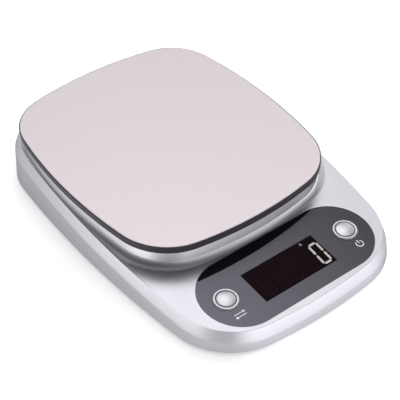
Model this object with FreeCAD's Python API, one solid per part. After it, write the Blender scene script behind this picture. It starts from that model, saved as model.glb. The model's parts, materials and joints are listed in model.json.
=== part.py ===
"""Battery kitchen scale: a steel platform on a load cell, over a low housing with a display panel.

Frame, in millimetres: origin on the table, under the middle of the scale. +X is the user's right,
+Y is to the rear and +Z is up. The display panel is at the front, on -Y.
"""
import FreeCAD, Part
import math
import os

V = FreeCAD.Vector
UP = V(0, 0, 1)

# ---------------------------------------------------------------- driving dimensions

# Heights above the table.
FOOT_STAND = 1.8            # clear height under the housing wall
PLATE_BOTTOM = 2.8          # outer face of the bottom housing's floor
PLATE_TOP = 4.8             # inner face of that floor
DECK_BOTTOM = 29.0          # underside of the deck that the platform stands over
DECK_TOP = 31.2
RIM_BOTTOM = 32.0           # lowest edge of the platform tray
TRAY_FACE = 35.6            # face of the tray that carries the tape
SHEET_BOTTOM = 35.9
SHEET_TOP = 36.4

# The housing's top surface slopes down to the front: each level below is at y = 0.
SLOPE = 0.068
WALL_LEVEL = 15.6           # crease between the side wall and the bevel
TOP_LEVEL = 22.75           # top surface
NECK_RISE = 3.2             # height of the neck's crease above the top surface
BEVEL_INSET = 3.0
WALL_FLARE = 1.15           # the wall leans out by this much at its bottom
WALL = 1.6                  # wall thickness at the crease
SKIN = 2.2                  # thickness of the top surface

# An outline is four bowed sides joined by round corners.
BODY = dict(half_width=84.0, widest_y=14.2, side_radius=699.0,
            front_y=-120.85, front_radius=344.0, back_y=120.85, back_radius=344.0,
            front_corner=43.9, back_corner=40.3)
PLATFORM_Y = 30.7           # middle of the platform
PLATFORM_HALF_DEPTH = 89.4
SHEET = dict(half_width=78.7, widest_y=PLATFORM_Y, side_radius=324.0,
             front_y=PLATFORM_Y - PLATFORM_HALF_DEPTH, front_radius=241.0,
             back_y=PLATFORM_Y + PLATFORM_HALF_DEPTH, back_radius=234.0,
             front_corner=39.0, back_corner=34.4)
# The neck spreads from its crease to this outline, on the top surface.
NECK_FOOT = dict(half_width=80.8, widest_y=14.2, side_radius=699.0,
                 front_y=-60.4, front_radius=344.0, back_y=117.6, back_radius=344.0,
                 front_corner=40.0, back_corner=37.0)
RIM_LIP = 0.75              # the tray stands out from the steel sheet by this much
CREASE_INSET = 1.2          # the neck's crease, in from the sheet's outline
NECK_LEAN = 0.31            # above the crease the neck leans in by this much for each mm of height
DECK_WALL_INSET = 6.6       # the hollow under the deck, in from the sheet's outline

# Display panel, in its own frame: x to the right, y up the slope, w out of the surface.
PANEL_Y = -87.0
PANEL_HALF_LENGTH = 62.5
PANEL_RADIUS = 26.1
LABEL_DEPTH = 0.75          # the label's seat below the top surface
LABEL_THICK = 0.6
WINDOW_SIZE = (55.0, 24.6)
WINDOW_Y = -2.9
BUTTON_X = 46.9
BUTTON_RADIUS = 5.9
COLLAR_INNER = 6.2
COLLAR_OUTER = 7.7
COLLAR_TOP = 0.9
BUTTON_DOME_TOP = 1.7
BUTTON_TRAVEL = 0.3
STEM_BOTTOM = -3.4          # where the button's stem meets the switch
SWITCH_TOP = -4.2
PLUNGER_DEPTH = 1.0         # how far the plunger reaches into the switch
BOARD_TOP = -7.6
BOARD_THICK = 1.2
BOARD_SIZE = (112.0, 34.0)
BOARD_Y = 1.0
GLASS_SIZE = (62.0, 32.0)
GLASS_TOP = -2.4
GLASS_THICK = 2.6

# Load cell and what holds it.
CELL_LENGTH = 80.0
CELL_SIDE = 12.7
CELL_BOTTOM = 10.0
SPACER_THICK = 2.0
PLATFORM_TRAVEL = 0.8
BRACKET_THICK = 1.5
TRAY_BOSS_X = 30.0
TRAY_BOSS_DY = 28.0
FIT = 0.02                  # radial clearance of a screw in its thread

# Fasteners and feet.
SCREW_SPOTS = [(side * x, y) for x, y in ((61.0, -100.0), (73.0, 5.0), (60.0, 104.0)) for side in (-1, 1)]
BOSS_SPLIT = 8.0            # height where the two housings' screw bosses meet
PILOT_TOP = 13.4
FOOT_SPOTS = [(side * x, y) for x, y in ((62.0, -82.0), (60.0, 84.0)) for side in (-1, 1)]
FOOT_RADIUS = 7.5

# Battery bay, to the right of the load cell.
BATTERY_RADIUS = 5.25
BATTERY_BODY = 43.3
BATTERY_NUB = 1.2
BATTERY_XS = (36.0, 47.0)
BATTERY_Z = 10.25
BAY_X = (30.5, 52.5)
BAY_Y = (5.5, 57.0)
BAY_CEILING = 15.7
BAY_WALL = 1.5
COVER_MARGIN = 3.0          # the cover overlaps the bay's edge by this much
COVER_GAP = 0.3
COVER_THICK = 1.8
LATCH_WIDTH = 7.0

os.makedirs("parts", exist_ok=True)


# ---------------------------------------------------------------- outlines and small helpers

def grown(shape, by):
    """The same outline, moved outwards by a distance."""
    wider = dict(shape)
    for name in ("half_width", "side_radius", "front_radius", "back_radius", "back_y",
                 "front_corner", "back_corner"):
        wider[name] = shape[name] + by
    wider["front_y"] = shape["front_y"] - by
    return wider


def blended(first, second, share):
    """An outline part of the way from one to another."""
    return {name: (1 - share) * first[name] + share * second[name] for name in first}


def corner_centre(shape, end_centre, end_radius, corner, toward):
    """Centre of the round corner that touches the side's arc and an end's arc, on +X."""
    side_centre = V(shape["half_width"] - shape["side_radius"], shape["widest_y"], 0)
    side_reach = shape["side_radius"] - corner
    end_reach = end_radius - corner
    between = end_centre - side_centre
    gap = between.Length
    along = (side_reach ** 2 - end_reach ** 2 + gap ** 2) / (2 * gap)
    across = math.sqrt(side_reach ** 2 - along ** 2)
    direction = between / gap
    square = V(-direction.y, direction.x, 0)
    foot = side_centre + direction * along
    choices = (foot + square * across, foot - square * across)
    return max(choices, key=lambda p: p.x + toward * p.y)


def outline(shape, z=0.0):
    """The closed wire of an outline, level at a height."""
    side_centre = V(shape["half_width"] - shape["side_radius"], shape["widest_y"], 0)
    front_centre = V(0, shape["front_y"] + shape["front_radius"], 0)
    back_centre = V(0, shape["back_y"] - shape["back_radius"], 0)

    def on_arc(centre, through, radius):
        return centre + (through - centre).normalize() * radius

    def ends(end_centre, end_radius, corner, toward):
        middle = corner_centre(shape, end_centre, end_radius, corner, toward)
        side_point = on_arc(side_centre, middle, shape["side_radius"])
        end_point = on_arc(end_centre, middle, end_radius)
        halfway = on_arc(middle, (side_point + end_point) * 0.5, corner)
        return side_point, halfway, end_point

    front = ends(front_centre, shape["front_radius"], shape["front_corner"], -1)
    back = ends(back_centre, shape["back_radius"], shape["back_corner"], 1)
    widest = V(shape["half_width"], shape["widest_y"], 0)
    right = [(front[2], front[1], front[0]), (front[0], widest, back[0]), (back[0], back[1], back[2])]

    def mirrored(p):
        return V(-p.x, p.y, p.z)

    left = [(mirrored(c), mirrored(b), mirrored(a)) for a, b, c in reversed(right)]
    front_run = (mirrored(front[2]), V(0, shape["front_y"], 0), front[2])
    back_run = (back[2], V(0, shape["back_y"], 0), mirrored(back[2]))
    lift = V(0, 0, z)
    runs = [front_run] + right + [back_run] + left
    return Part.Wire([Part.Arc(a + lift, b + lift, c + lift).toShape() for a, b, c in runs])


def sloped(shape, level, slope=SLOPE):
    """The wire of an outline on a plane parallel to the top surface, or at another slope."""
    shear = FreeCAD.Matrix(1, 0, 0, 0, 0, 1, 0, 0, 0, slope, 1, level, 0, 0, 0, 1)
    return outline(shape).transformGeometry(shear)


def prism(shape, low, high):
    """A solid with upright walls on an outline."""
    return Part.Face(outline(shape, low)).extrude(V(0, 0, high - low))


def skin_through(wires):
    """A solid with straight walls from each wire to the next."""
    return Part.makeLoft(wires, True, True)


def block(x, y, z):
    """A box from its (low, high) span along each axis."""
    return Part.makeBox(x[1] - x[0], y[1] - y[0], z[1] - z[0], V(x[0], y[0], z[0]))


def widened(span, by):
    """A (low, high) span, made longer by a distance at both ends."""
    return (span[0] - by, span[1] + by)


def block_at(centre, size, z):
    """A box from its middle and size in plan, and its (low, high) height."""
    x, y = centre
    return block((x - size[0] / 2, x + size[0] / 2), (y - size[1] / 2, y + size[1] / 2), z)


def post(spot, radius, z):
    """An upright cylinder at (x, y), over its (low, high) height."""
    return Part.makeCylinder(radius, z[1] - z[0], V(spot[0], spot[1], z[0]), UP)


def upright_edges(solid):
    """The straight edges of a solid that run along Z."""
    return [e for e in solid.Edges if e.Length > 1e-6 and len(e.Vertexes) == 2
            and abs((e.Vertexes[0].Point - e.Vertexes[1].Point).normalize().z) > 0.999]


def round_block(centre, size, z, radius):
    """A box whose upright edges are rounded."""
    solid = block_at(centre, size, z)
    return solid.makeFillet(radius, upright_edges(solid))


def rings_at(solid, z):
    """The closed round edges of a solid at a height."""
    return [e for e in solid.Edges if len(e.Vertexes) == 1
            and abs(e.BoundBox.ZMin - z) < 1e-4 and abs(e.BoundBox.ZMax - z) < 1e-4]


def fused(solids):
    """Several solids as one."""
    solids = list(solids)
    return solids[0].multiFuse(solids[1:]).removeSplitter()


def compound(solids):
    """Several separate solids in one node."""
    return Part.makeCompound(list(solids))


def screw(spot, head, head_radius, shank, radius, recess=1.0):
    """A pan-head screw on Z. head and shank are (low, high) spans that meet at one height."""
    body = fused([post(spot, head_radius, head), post(spot, radius, shank)])
    head_is_up = head[1] > shank[1]
    outer = head[1] if head_is_up else head[0]
    body = body.makeFillet(0.4, rings_at(body, outer))
    cross_z = (outer - recess, outer) if head_is_up else (outer, outer + recess)
    arm = head_radius * 1.1
    width = head_radius * 0.28
    cross = fused([block_at(spot, (arm, width), cross_z), block_at(spot, (width, arm), cross_z)])
    return body.cut(cross)


def save(name, shape):
    """Writes one node."""
    shape.exportStep("parts/" + name + ".step")


PANEL_ANGLE = math.degrees(math.atan(SLOPE))
PANEL_PLACEMENT = FreeCAD.Placement(V(0, PANEL_Y, TOP_LEVEL + SLOPE * PANEL_Y),
                                    FreeCAD.Rotation(V(1, 0, 0), PANEL_ANGLE))


def on_panel(shape):
    """Moves a shape from the panel's own frame to its place on the sloping top."""
    placed = shape.copy()
    placed.Placement = PANEL_PLACEMENT.multiply(placed.Placement)
    return placed


def stadium(half_length, radius, w):
    """A straight slot shape with round ends, in the panel's frame, over its (low, high) height."""
    straight = half_length - radius
    middle = block((-straight, straight), (-radius, radius), w)
    ends = [post((x, 0), radius, w) for x in (-straight, straight)]
    return fused([middle] + ends)


def rounded_route(points, radius):
    """Straight runs between points, joined by tangent arcs."""
    edges = []
    start = points[0]
    for before, corner, after in zip(points, points[1:], points[2:]):
        coming = (corner - before).normalize()
        going = (after - corner).normalize()
        turn = coming.getAngle(going)
        back_off = radius * math.tan(turn / 2)
        arc_start = corner - coming * back_off
        arc_end = corner + going * back_off
        inward = (going - coming).normalize()
        reach = radius / math.cos(turn / 2) - radius
        edges.append(Part.LineSegment(start, arc_start).toShape())
        edges.append(Part.Arc(arc_start, corner + inward * reach, arc_end).toShape())
        start = arc_end
    edges.append(Part.LineSegment(start, points[-1]).toShape())
    return Part.Wire(edges)


def wire_run(points, diameter, bend):
    """A round wire or cable along a route."""
    route = rounded_route(points, bend)
    start = (points[1] - points[0]).normalize()
    section = Part.Wire(Part.makeCircle(diameter / 2, points[0], start))
    return route.makePipeShell([section], True, True)


# ---------------------------------------------------------------- housing

def housing_outside():
    """The top housing's outer form: wall, bevel, sloping top, neck and deck."""
    body = skin_through([sloped(grown(BODY, WALL_FLARE), FOOT_STAND, 0), sloped(BODY, WALL_LEVEL),
                         sloped(grown(BODY, -BEVEL_INSET), TOP_LEVEL)])
    crease = grown(SHEET, -CREASE_INSET)
    steps = 6
    sections = [sloped(NECK_FOOT, TOP_LEVEL - 3)]
    for step in range(steps + 1):
        t = step / steps
        sections.append(sloped(blended(crease, NECK_FOOT, (1 - t) ** 1.5), TOP_LEVEL + NECK_RISE * t ** 2))
    tallest = DECK_TOP - TOP_LEVEL - NECK_RISE - SLOPE * SHEET["front_y"] + 1
    band_top = grown(crease, -NECK_LEAN * tallest)
    sections.append(sloped(band_top, TOP_LEVEL + NECK_RISE + tallest))
    neck = skin_through(sections)
    below_deck_top = block((-120, 120), (-160, 160), (0, DECK_TOP))
    return fused([body, neck.common(below_deck_top)])


def housing_inside():
    """The hollow in the top housing."""
    inner_wall = grown(BODY, -WALL)
    low_hollow = skin_through([sloped(inner_wall, -1, 0), sloped(inner_wall, WALL_LEVEL - 1.5),
                               sloped(grown(BODY, -BEVEL_INSET - WALL), TOP_LEVEL - SKIN)])
    deck_hollow = prism(grown(SHEET, -DECK_WALL_INSET), 10, DECK_BOTTOM)
    return fused([low_hollow, deck_hollow])


def board_spots():
    """The board's four screw places, in the panel's frame."""
    return [(x, BOARD_Y + y) for x in (-52.0, 52.0) for y in (-13.0, 13.0)]


def tray_boss_spots():
    """Where the tray is screwed to its bracket."""
    ys = (PLATFORM_Y - TRAY_BOSS_DY, PLATFORM_Y + TRAY_BOSS_DY)
    return [(x, y) for x in (-TRAY_BOSS_X, TRAY_BOSS_X) for y in ys]


def top_housing():
    """The silver upper shell, with the label's seat, button collars, bosses and board posts."""
    outside = housing_outside()
    shell = outside.cut(housing_inside())
    bosses = [post(spot, 3.6, (BOSS_SPLIT, DECK_TOP)).common(outside) for spot in SCREW_SPOTS]
    board_posts = [on_panel(post(spot, 2.4, (BOARD_TOP, -1.0))) for spot in board_spots()]
    seat = stadium(PANEL_HALF_LENGTH + 0.15, PANEL_RADIUS + 0.15, (-LABEL_DEPTH, 4.0))
    shell = fused([shell] + bosses + board_posts)
    shell = shell.cut(on_panel(seat))
    collars = []
    for x in (-BUTTON_X, BUTTON_X):
        collar = post((x, 0), COLLAR_OUTER, (-1.6, COLLAR_TOP))
        collars.append(on_panel(collar.makeFillet(0.55, rings_at(collar, COLLAR_TOP))))
    shell = fused([shell] + collars)
    holes = [on_panel(post((x, 0), COLLAR_INNER, (-4, 4))) for x in (-BUTTON_X, BUTTON_X)]
    holes.append(on_panel(block_at((0, WINDOW_Y), (WINDOW_SIZE[0] + 2, WINDOW_SIZE[1] + 2), (-4, 2))))
    holes += [post(spot, 6.5, (DECK_BOTTOM - 3, DECK_TOP + 1)) for spot in tray_boss_spots()]
    holes += [post(spot, 1.4 + FIT, (BOSS_SPLIT - 1, PILOT_TOP)) for spot in SCREW_SPOTS]
    holes += [on_panel(post(spot, 1.0 + FIT, (BOARD_TOP - 1, -3.2))) for spot in board_spots()]
    return shell.cut(compound(holes))


def cell_end(toward):
    """The y of the middle of a load cell's clamped end: -1 is the fixed end, 1 the free end."""
    return PLATFORM_Y + toward * (CELL_LENGTH / 2 - 8)


def cell_screw_spots(toward):
    """The two screw places in one end of the load cell."""
    return [(0, cell_end(toward) + dy) for dy in (-4.0, 4.0)]


def cover_span():
    """The battery cover's (x, y) spans."""
    return (widened(BAY_X, COVER_MARGIN), widened(BAY_Y, COVER_MARGIN))


def tongue_span():
    """The x span of the tongue at the cover's rear edge."""
    return widened(cover_span()[0], -5.0)


def latch_span():
    """The x span of the latch finger at the cover's front edge."""
    middle = sum(BAY_X) / 2
    return (middle - LATCH_WIDTH / 2, middle + LATCH_WIDTH / 2)


def bottom_housing():
    """The base: floor, screw bosses, load cell seat, overload stop, stiffening ribs and battery bay."""
    floor = prism(grown(BODY, -WALL - 0.15), PLATE_BOTTOM, PLATE_TOP)
    solids = [floor]
    solids += [post(spot, 4.2, (PLATE_TOP - 0.5, BOSS_SPLIT)) for spot in SCREW_SPOTS]
    seat_y = cell_end(-1)
    solids.append(block_at((0, seat_y), (24, 22), (PLATE_TOP - 0.5, CELL_BOTTOM - SPACER_THICK)))
    stop_top = CELL_BOTTOM - PLATFORM_TRAVEL - 0.1
    solids.append(post((0, cell_end(1)), 5.0, (PLATE_TOP - 0.5, stop_top)))
    rib_z = (PLATE_TOP - 0.5, 7.6)
    for x in (-14.0, 14.0):
        solids.append(block_at((x, 30.0), (1.4, 120.0), rib_z))
    for y in (-34.0, 94.0):
        solids.append(block_at((0, y), (118.0, 1.4), rib_z))
    solids.append(block_at((-50.0, 30.0), (1.4, 128.0), rib_z))
    cover_x, cover_y = cover_span()
    opening = [widened(span, COVER_GAP) for span in (cover_x, cover_y)]
    ledge_bottom = PLATE_BOTTOM + COVER_THICK + COVER_GAP
    for x, y, wall_top in ((BAY_X, BAY_Y, BAY_CEILING), (opening[0], opening[1], ledge_bottom)):
        walls_z = (PLATE_TOP - 0.5, wall_top + BAY_WALL)
        solids.append(block(widened(x, BAY_WALL), widened(y, BAY_WALL), walls_z))
    base = fused(solids)

    cuts = [block(BAY_X, BAY_Y, (0, BAY_CEILING)), block(opening[0], opening[1], (0, ledge_bottom))]
    cuts += [post(spot, 3.1, (0, 6.0)) for spot in SCREW_SPOTS]
    cuts += [post(spot, 1.6, (0, 9)) for spot in SCREW_SPOTS]
    cuts += [post(spot, 3.8, (0, 5.6)) for spot in cell_screw_spots(-1)]
    cuts += [post(spot, 2.0 + FIT, (0, 12)) for spot in cell_screw_spots(-1)]
    cuts += [post(spot, FOOT_RADIUS + 0.15, (0, PLATE_BOTTOM + 0.4)) for spot in FOOT_SPOTS]
    lead_notch = block_at((25.0, -34.0), (24.0, 3.0), (PLATE_TOP, 8))
    cuts.append(lead_notch)
    tongue_slot_y = (cover_y[1] - 1.1, cover_y[1] + 2.4)
    cuts.append(block(widened(tongue_span(), 0.5), tongue_slot_y, (PLATE_BOTTOM + 0.9, 7.0)))
    finger_dip = block_at((sum(cover_x) / 2, cover_y[0] - 3.0), (14.0, 6.6), (0, PLATE_BOTTOM + 1.2))
    cuts.append(finger_dip)
    latch_y = (opening[1][0] + 0.1, cover_y[0] + 2.0)
    cuts.append(block(widened(latch_span(), 0.5), latch_y, (PLATE_BOTTOM, ledge_bottom + 3.5)))
    lead_slot = block((BATTERY_XS[0] - 1.5, BATTERY_XS[1] + 1.5), (BAY_Y[0] - 3, BAY_Y[0] + 0.1), (12.0, 14.4))
    cuts.append(lead_slot)
    return base.cut(compound(cuts))


def housing_screws():
    """Six self-tapping screws that hold the housings together."""
    return compound(screw(spot, (4.0, 6.0), 2.8, (6.0, PILOT_TOP - 0.3), 1.4) for spot in SCREW_SPOTS)


def rubber_feet():
    """Four stuck-on rubber feet."""
    feet = []
    for spot in FOOT_SPOTS:
        foot = post(spot, FOOT_RADIUS, (0, PLATE_BOTTOM + 0.4))
        feet.append(foot.makeFillet(0.7, rings_at(foot, 0)))
    return compound(feet)


# ---------------------------------------------------------------- platform

def steel_platform_sheet():
    """The stainless sheet, with its top edge eased."""
    sheet = prism(SHEET, SHEET_BOTTOM, SHEET_TOP)
    rim = [e for e in sheet.Edges if e.BoundBox.ZMin > SHEET_TOP - 1e-4]
    return sheet.makeFillet(0.2, rim)


def sheet_tape():
    """Strips of double-sided tape between the sheet and the tray."""
    return compound(block_at((0, PLATFORM_Y + dy), (110.0, 18.0), (TRAY_FACE, SHEET_BOTTOM))
                    for dy in (-54.0, 0.0, 54.0))


def platform_tray():
    """The dark tray under the sheet: rim, web, ribs and four screw bosses."""
    outer = grown(SHEET, RIM_LIP)
    web_bottom = 33.6
    tray = prism(outer, RIM_BOTTOM, SHEET_BOTTOM + 0.2)
    tray = tray.cut(prism(grown(SHEET, 0.05), SHEET_BOTTOM, SHEET_TOP))
    tray = tray.cut(prism(grown(SHEET, -1.2), TRAY_FACE, SHEET_TOP))
    tray = tray.cut(prism(grown(SHEET, -2.0), RIM_BOTTOM - 1, web_bottom))
    ribs = [block_at((x, PLATFORM_Y), (1.5, 120.0), (32.8, web_bottom + 0.5)) for x in (-48.0, 0.0, 48.0)]
    ribs += [block_at((0, PLATFORM_Y + dy), (110.0, 1.5), (32.8, web_bottom + 0.5)) for dy in (-58.0, 58.0)]
    bracket_top = CELL_BOTTOM + CELL_SIDE + SPACER_THICK + BRACKET_THICK
    bosses = [post(spot, 4.5, (bracket_top, web_bottom + 0.5)) for spot in tray_boss_spots()]
    tray = fused([tray] + ribs + bosses)
    holes = [post(spot, 1.6, (20, 40)) for spot in tray_boss_spots()]
    holes += [post(spot, 3.1, (TRAY_FACE - 2.2, 40)) for spot in tray_boss_spots()]
    return tray.cut(compound(holes))


def tray_screws():
    """Four screws from the tray down into its bracket."""
    seat = TRAY_FACE - 2.2
    shank = (CELL_BOTTOM + CELL_SIDE + SPACER_THICK, seat)
    return compound(screw(spot, (seat, seat + 1.9), 2.8, shank, 1.5) for spot in tray_boss_spots())


def platform_bracket():
    """The pressed steel bracket that carries the tray on the load cell's free end."""
    low = CELL_BOTTOM + CELL_SIDE + SPACER_THICK
    z = (low, low + BRACKET_THICK)
    reach = (2 * TRAY_BOSS_X + 14, 2 * TRAY_BOSS_DY + 14)
    plate = round_block((0, PLATFORM_Y), reach, z, 7.0)
    for x in (-20.0, 20.0):
        plate = plate.cut(round_block((x, PLATFORM_Y), (16.0, 34.0), (low - 1, low + 3), 4.0))
    holes = [post(spot, 1.5 + FIT, (low - 1, low + 3)) for spot in tray_boss_spots()]
    holes += [post(spot, 2.0 + FIT, (low - 1, low + 3)) for spot in cell_screw_spots(1)]
    return plate.cut(compound(holes))


# ---------------------------------------------------------------- load cell

def load_cell():
    """Aluminium bending-beam cell with the usual paired holes through its side."""
    cell = block_at((0, PLATFORM_Y), (CELL_SIDE, CELL_LENGTH), (CELL_BOTTOM, CELL_BOTTOM + CELL_SIDE))
    cuts = []
    middle_z = CELL_BOTTOM + CELL_SIDE / 2
    for dy in (-8.0, 8.0):
        start = V(-CELL_SIDE, PLATFORM_Y + dy, middle_z)
        cuts.append(Part.makeCylinder(4.9, 2 * CELL_SIDE, start, V(1, 0, 0)))
    cuts.append(block_at((0, PLATFORM_Y), (2 * CELL_SIDE, 16.0), (middle_z - 1.5, middle_z + 1.5)))
    for spot in cell_screw_spots(-1):
        cuts.append(post(spot, 2.0 + FIT, (CELL_BOTTOM - 1, middle_z + 1)))
    for spot in cell_screw_spots(1):
        cuts.append(post(spot, 2.0 + FIT, (middle_z - 1, CELL_BOTTOM + CELL_SIDE + 1)))
    return cell.cut(fused(cuts[:3])).cut(compound(cuts[3:]))


def cell_spacer(toward, low):
    """A steel shim under the fixed end, or over the free end."""
    plate = round_block((0, cell_end(toward)), (CELL_SIDE, 16.0), (low, low + SPACER_THICK), 1.0)
    holes = [post(spot, 2.0 + FIT, (low - 1, low + 4)) for spot in cell_screw_spots(toward)]
    return plate.cut(compound(holes))


def cell_screws_lower():
    """Two screws from below, through the floor and shim, into the fixed end."""
    shank = (5.6, CELL_BOTTOM + 6)
    return compound(screw(spot, (3.4, 5.6), 3.6, shank, 2.0) for spot in cell_screw_spots(-1))


def cell_screws_upper():
    """Two screws from above, through the bracket and shim, into the free end."""
    top = CELL_BOTTOM + CELL_SIDE + SPACER_THICK + BRACKET_THICK
    shank = (CELL_BOTTOM + CELL_SIDE - 6, top)
    return compound(screw(spot, (top, top + 2.0), 3.6, shank, 2.0) for spot in cell_screw_spots(1))


def strain_gauges():
    """Four foil gauges, over the thin webs of the load cell."""
    top = CELL_BOTTOM + CELL_SIDE
    gauges = []
    for dy in (-8.0, 8.0):
        gauges.append(block_at((0, PLATFORM_Y + dy), (5.0, 8.0), (top, top + 0.1)))
        gauges.append(block_at((0, PLATFORM_Y + dy), (5.0, 8.0), (CELL_BOTTOM - 0.1, CELL_BOTTOM)))
    return compound(gauges)


def gauge_sealant():
    """Soft white sealant over the gauges, on top of and under the load cell."""
    top = CELL_BOTTOM + CELL_SIDE
    pads = []
    for low, gauge in ((top, (top, top + 0.1)), (CELL_BOTTOM - 0.9, (CELL_BOTTOM - 0.1, CELL_BOTTOM))):
        pad = round_block((0, PLATFORM_Y), (11.0, 30.0), (low, low + 0.9), 3.0)
        for dy in (-8.0, 8.0):
            pad = pad.cut(block_at((0, PLATFORM_Y + dy), (5.0, 8.0), gauge))
        pads.append(pad)
    return compound(pads)


def gauge_cable():
    """The load cell's four-core cable, clipped along the floor to the board."""
    points = [V(CELL_SIDE / 2, 14, 11), V(13, 14, 11), V(19.5, 8, 8), V(19.5, -6, 6.4),
              V(19.5, -34, 6.4), V(20, -52, 6.4), V(20, -64.6, 7.6)]
    return wire_run(points, 2.0, 4.0)


# ---------------------------------------------------------------- display and electronics

def label_panel():
    """The glossy printed label, with holes for the button collars."""
    w = (-LABEL_DEPTH, -LABEL_DEPTH + LABEL_THICK)
    label = stadium(PANEL_HALF_LENGTH, PANEL_RADIUS, w)
    for x in (-BUTTON_X, BUTTON_X):
        label = label.cut(post((x, 0), COLLAR_OUTER + 0.15, (-2, 2)))
    return on_panel(label)


def button_cap(x):
    """A domed button with a retaining flange and a stem, at x on the panel."""
    neck = post((x, 0), BUTTON_RADIUS, (-2.6, 0.5))
    sphere_radius = (BUTTON_RADIUS ** 2 + (BUTTON_DOME_TOP - 0.5) ** 2) / (2 * (BUTTON_DOME_TOP - 0.5))
    ball = Part.makeSphere(sphere_radius, V(x, 0, BUTTON_DOME_TOP - sphere_radius))
    dome = ball.common(post((x, 0), BUTTON_RADIUS, (0.4, BUTTON_DOME_TOP + 0.1)))
    flange = post((x, 0), COLLAR_INNER + 1.0, (-3.2, -2.5))
    stem = post((x, 0), 1.6, (STEM_BOTTOM, -2.6))
    return on_panel(fused([neck, dome, flange, stem]))


def switch_body(x):
    """The fixed part of a 6 mm push switch, with a well for its plunger."""
    case = round_block((x, 0), (6.0, 6.0), (BOARD_TOP, SWITCH_TOP), 0.6)
    well_bottom = SWITCH_TOP - PLUNGER_DEPTH - BUTTON_TRAVEL - 0.1
    return on_panel(case.cut(post((x, 0), 1.8, (well_bottom, 0))))


def switch_plunger(x):
    """The part of the switch that the button pushes."""
    return on_panel(post((x, 0), 1.75, (SWITCH_TOP - PLUNGER_DEPTH, STEM_BOTTOM)))


def lcd_glass():
    """The display: two bonded panes with a contact ledge along the front."""
    pane = GLASS_THICK / 2
    middle = GLASS_TOP - pane
    width, depth = GLASS_SIZE
    front_pane = block_at((0, WINDOW_Y), (width, depth), (middle, GLASS_TOP))
    rear_pane = block_at((0, WINDOW_Y + 1.5), (width, depth - 3), (middle - pane, middle))
    return on_panel(fused([front_pane, rear_pane]))


def lcd_frame():
    """The clip-in frame round the display."""
    z = (GLASS_TOP - GLASS_THICK - 2.0, GLASS_TOP)
    width, depth = GLASS_SIZE
    frame = round_block((0, WINDOW_Y), (width + 5, depth + 3), z, 1.2)
    hollow = block_at((0, WINDOW_Y), (width + 0.3, depth + 0.3), (-12, 0))
    return on_panel(frame.cut(hollow))


def lcd_backlight():
    """The white light guide behind the display."""
    top = GLASS_TOP - GLASS_THICK
    size = (GLASS_SIZE[0] - 2, GLASS_SIZE[1] - 6)
    return on_panel(round_block((0, WINDOW_Y + 2.2), size, (top - 2.2, top), 0.8))


def zebra_strip():
    """The rubber connector from the display's ledge to the board."""
    ledge = GLASS_TOP - GLASS_THICK / 2
    strip_y = WINDOW_Y - GLASS_SIZE[1] / 2 + 1.3
    return on_panel(block_at((0, strip_y), (GLASS_SIZE[0] - 6, 1.8), (BOARD_TOP, ledge)))


def main_board():
    """The circuit board."""
    z = (BOARD_TOP - BOARD_THICK, BOARD_TOP)
    board = round_block((0, BOARD_Y), BOARD_SIZE, z, 2.0)
    return on_panel(board.cut(compound(post(spot, 1.3, (-12, 0)) for spot in board_spots())))


def board_screws():
    """Four small screws from under the board into the housing's posts."""
    low = BOARD_TOP - BOARD_THICK
    screws = [screw(spot, (low - 1.2, low), 1.9, (low, -3.6), 1.0, recess=0.6) for spot in board_spots()]
    return on_panel(compound(screws))


def controller_dome():
    """The resin drop over the controller chip, under the board."""
    low = BOARD_TOP - BOARD_THICK
    ball = Part.makeSphere(16.0, V(-16, 2, low + 14.6))
    return on_panel(ball.common(post((-16, 2), 8.0, (low - 2, low))))


def board_components():
    """Small surface-mounted parts under the board."""
    low = BOARD_TOP - BOARD_THICK
    parts = [block_at((x, -8.0 + 5.0 * (index % 3)), (3.2, 1.6), (low - 0.8, low))
             for index, x in enumerate((4.0, 9.0, 14.0, -34.0, -39.0, 38.0))]
    parts.append(block_at((31.0, 6.0), (5.0, 4.0), (low - 1.5, low)))
    return on_panel(compound(parts))


def cable_header():
    """The plug-in header for the load cell's cable, at the board's rear edge."""
    low = BOARD_TOP - BOARD_THICK
    return on_panel(block_at((20.0, BOARD_Y + 15.0), (9.0, 5.0), (low - 2.6, low)))


# ---------------------------------------------------------------- batteries

def battery(x, nub_to_rear):
    """An AAA cell lying along Y, with its nub against a contact and its flat end against a spring."""
    low_y = BAY_Y[0] + (4.8 if nub_to_rear else 0.9 + BATTERY_NUB)
    can = Part.makeCylinder(BATTERY_RADIUS, BATTERY_BODY, V(x, low_y, BATTERY_Z), V(0, 1, 0))
    rims = [e for e in can.Edges if len(e.Vertexes) == 1 and e.BoundBox.YLength < 1e-4]
    can = can.makeFillet(0.5, rims)
    nub_y = low_y + BATTERY_BODY if nub_to_rear else low_y - BATTERY_NUB
    nub = Part.makeCylinder(1.9, BATTERY_NUB, V(x, nub_y, BATTERY_Z), V(0, 1, 0))
    return fused([can, nub])


def batteries():
    """Two AAA cells, laid in opposite directions."""
    return compound([battery(BATTERY_XS[0], True), battery(BATTERY_XS[1], False)])


def contact_plate(x, y):
    """A flat contact standing against an end wall of the bay."""
    return block(x, (y, y + 0.4), (5.6, 15.2))


def battery_bridge():
    """The rear contact that joins the two cells."""
    return contact_plate((BATTERY_XS[0] - 4, BATTERY_XS[1] + 4), BAY_Y[1] - 0.4)


def battery_terminals():
    """The two front contacts, with their tabs through the wall of the bay."""
    plates = []
    for x in BATTERY_XS:
        tab = block((x - 1, x + 1), (BAY_Y[0] - 2.2, BAY_Y[0] + 0.4), (12.6, 13.0))
        plates.append(fused([contact_plate((x - 4, x + 4), BAY_Y[0]), tab]))
    return compound(plates)


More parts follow.
